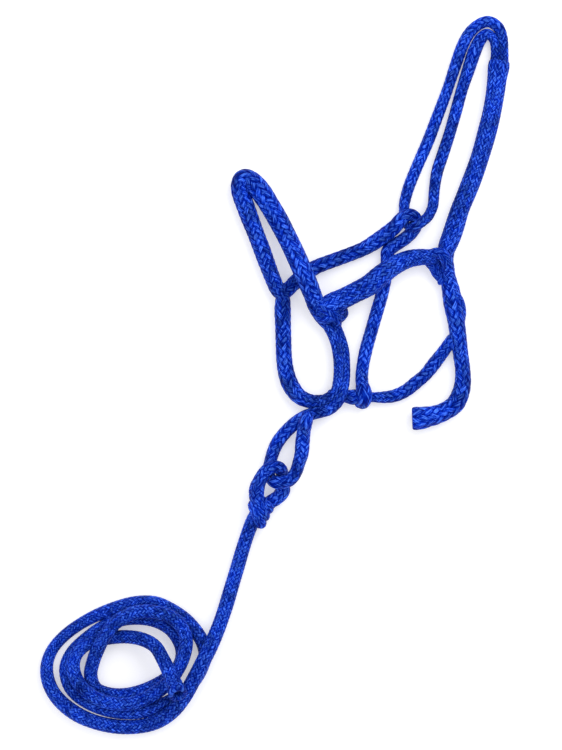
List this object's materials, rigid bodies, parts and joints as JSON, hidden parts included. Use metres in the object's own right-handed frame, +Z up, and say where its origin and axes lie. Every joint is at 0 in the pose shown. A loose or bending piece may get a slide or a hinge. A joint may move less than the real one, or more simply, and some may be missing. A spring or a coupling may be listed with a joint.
{
  "type": "rope halter",
  "caption": "Rope halter with its own lead: a spliced ring of soft hollow-braid rope for the nose, cheek, throat and crown ropes, a tie loop and a coiled lead.",
  "frame": {"origin": "floor point under the middle of the halter's own box, without the lead", "axes": "+Z up from the floor the halter lies on, +Y towards the crown, +X to the near side"},
  "size_m": [0.5145, 0.7897, 0.047],
  "materials": {
    "rope": "royal-blue hollow-braid polypropylene multifilament, soft satin sheen"
  },
  "bodies": {
    "halter_frame": {"chin_rope": "rope", "near_chin_inner": "rope", "near_chin_outer": "rope", "chin_second_strand": "rope", "near_cheek_knot": "rope", "near_cheek_rope": "rope", "near_crown_hitch": "rope", "near_hitch_loop": "rope", "near_side_rope": "rope", "throat_tuck": "rope", "throat_rope_near": "rope", "throat_knot": "rope", "throat_link": "rope", "throat_rope_far": "rope", "far_cheek_eye": "rope", "far_cheek_rope": "rope", "far_cheek_splice": "rope", "crown_rope_lower": "rope", "crown_loop_bight": "rope"},
    "noseband": {"nose_rope_near": "rope", "nose_rope_top": "rope", "nose_rope_far": "rope"},
    "crown": {"crown_rope": "rope", "crown_splice": "rope", "crown_strand_outer": "rope", "crown_strand_inner": "rope"},
    "tail": {"tail_rope": "rope", "tail_end": "rope"},
    "tie_loop": {"tie_loop_left": "rope", "tie_loop_right": "rope"},
    "lead": {"lead_loop": "rope", "lead_knot": "rope", "lead_rope": "rope", "lead_coil": "rope", "lead_end": "rope"}
  },
  "joints": [
    {"name": "noseband_lift", "type": "hinge", "parent": "halter_frame", "child": "noseband", "pos_m": [-0.0635, -0.05, 0.0156], "axis": [0.9157, -0.3723, 0.1509], "range_deg": [0, 90]},
    {"name": "crown_lift", "type": "hinge", "parent": "halter_frame", "child": "crown", "pos_m": [0.0984, 0.0462, 0.0095], "axis": [0.9902, -0.1258, 0.0613], "range_deg": [0, 90]},
    {"name": "tail_swing", "type": "hinge", "parent": "halter_frame", "child": "tail", "pos_m": [0.0995, -0.119, 0.0078], "axis": [0, 0, 1], "range_deg": [-5, 40]},
    {"name": "tie_loop_swing", "type": "hinge", "parent": "halter_frame", "child": "tie_loop", "pos_m": [-0.0725, -0.185, 0.01], "axis": [0, 0, 1], "range_deg": [-10, 10]},
    {"name": "lead_swing", "type": "hinge", "parent": "tie_loop", "child": "lead", "pos_m": [-0.099, -0.247, 0.008], "axis": [0, 0, 1], "range_deg": [-12, 12]}
  ]
}
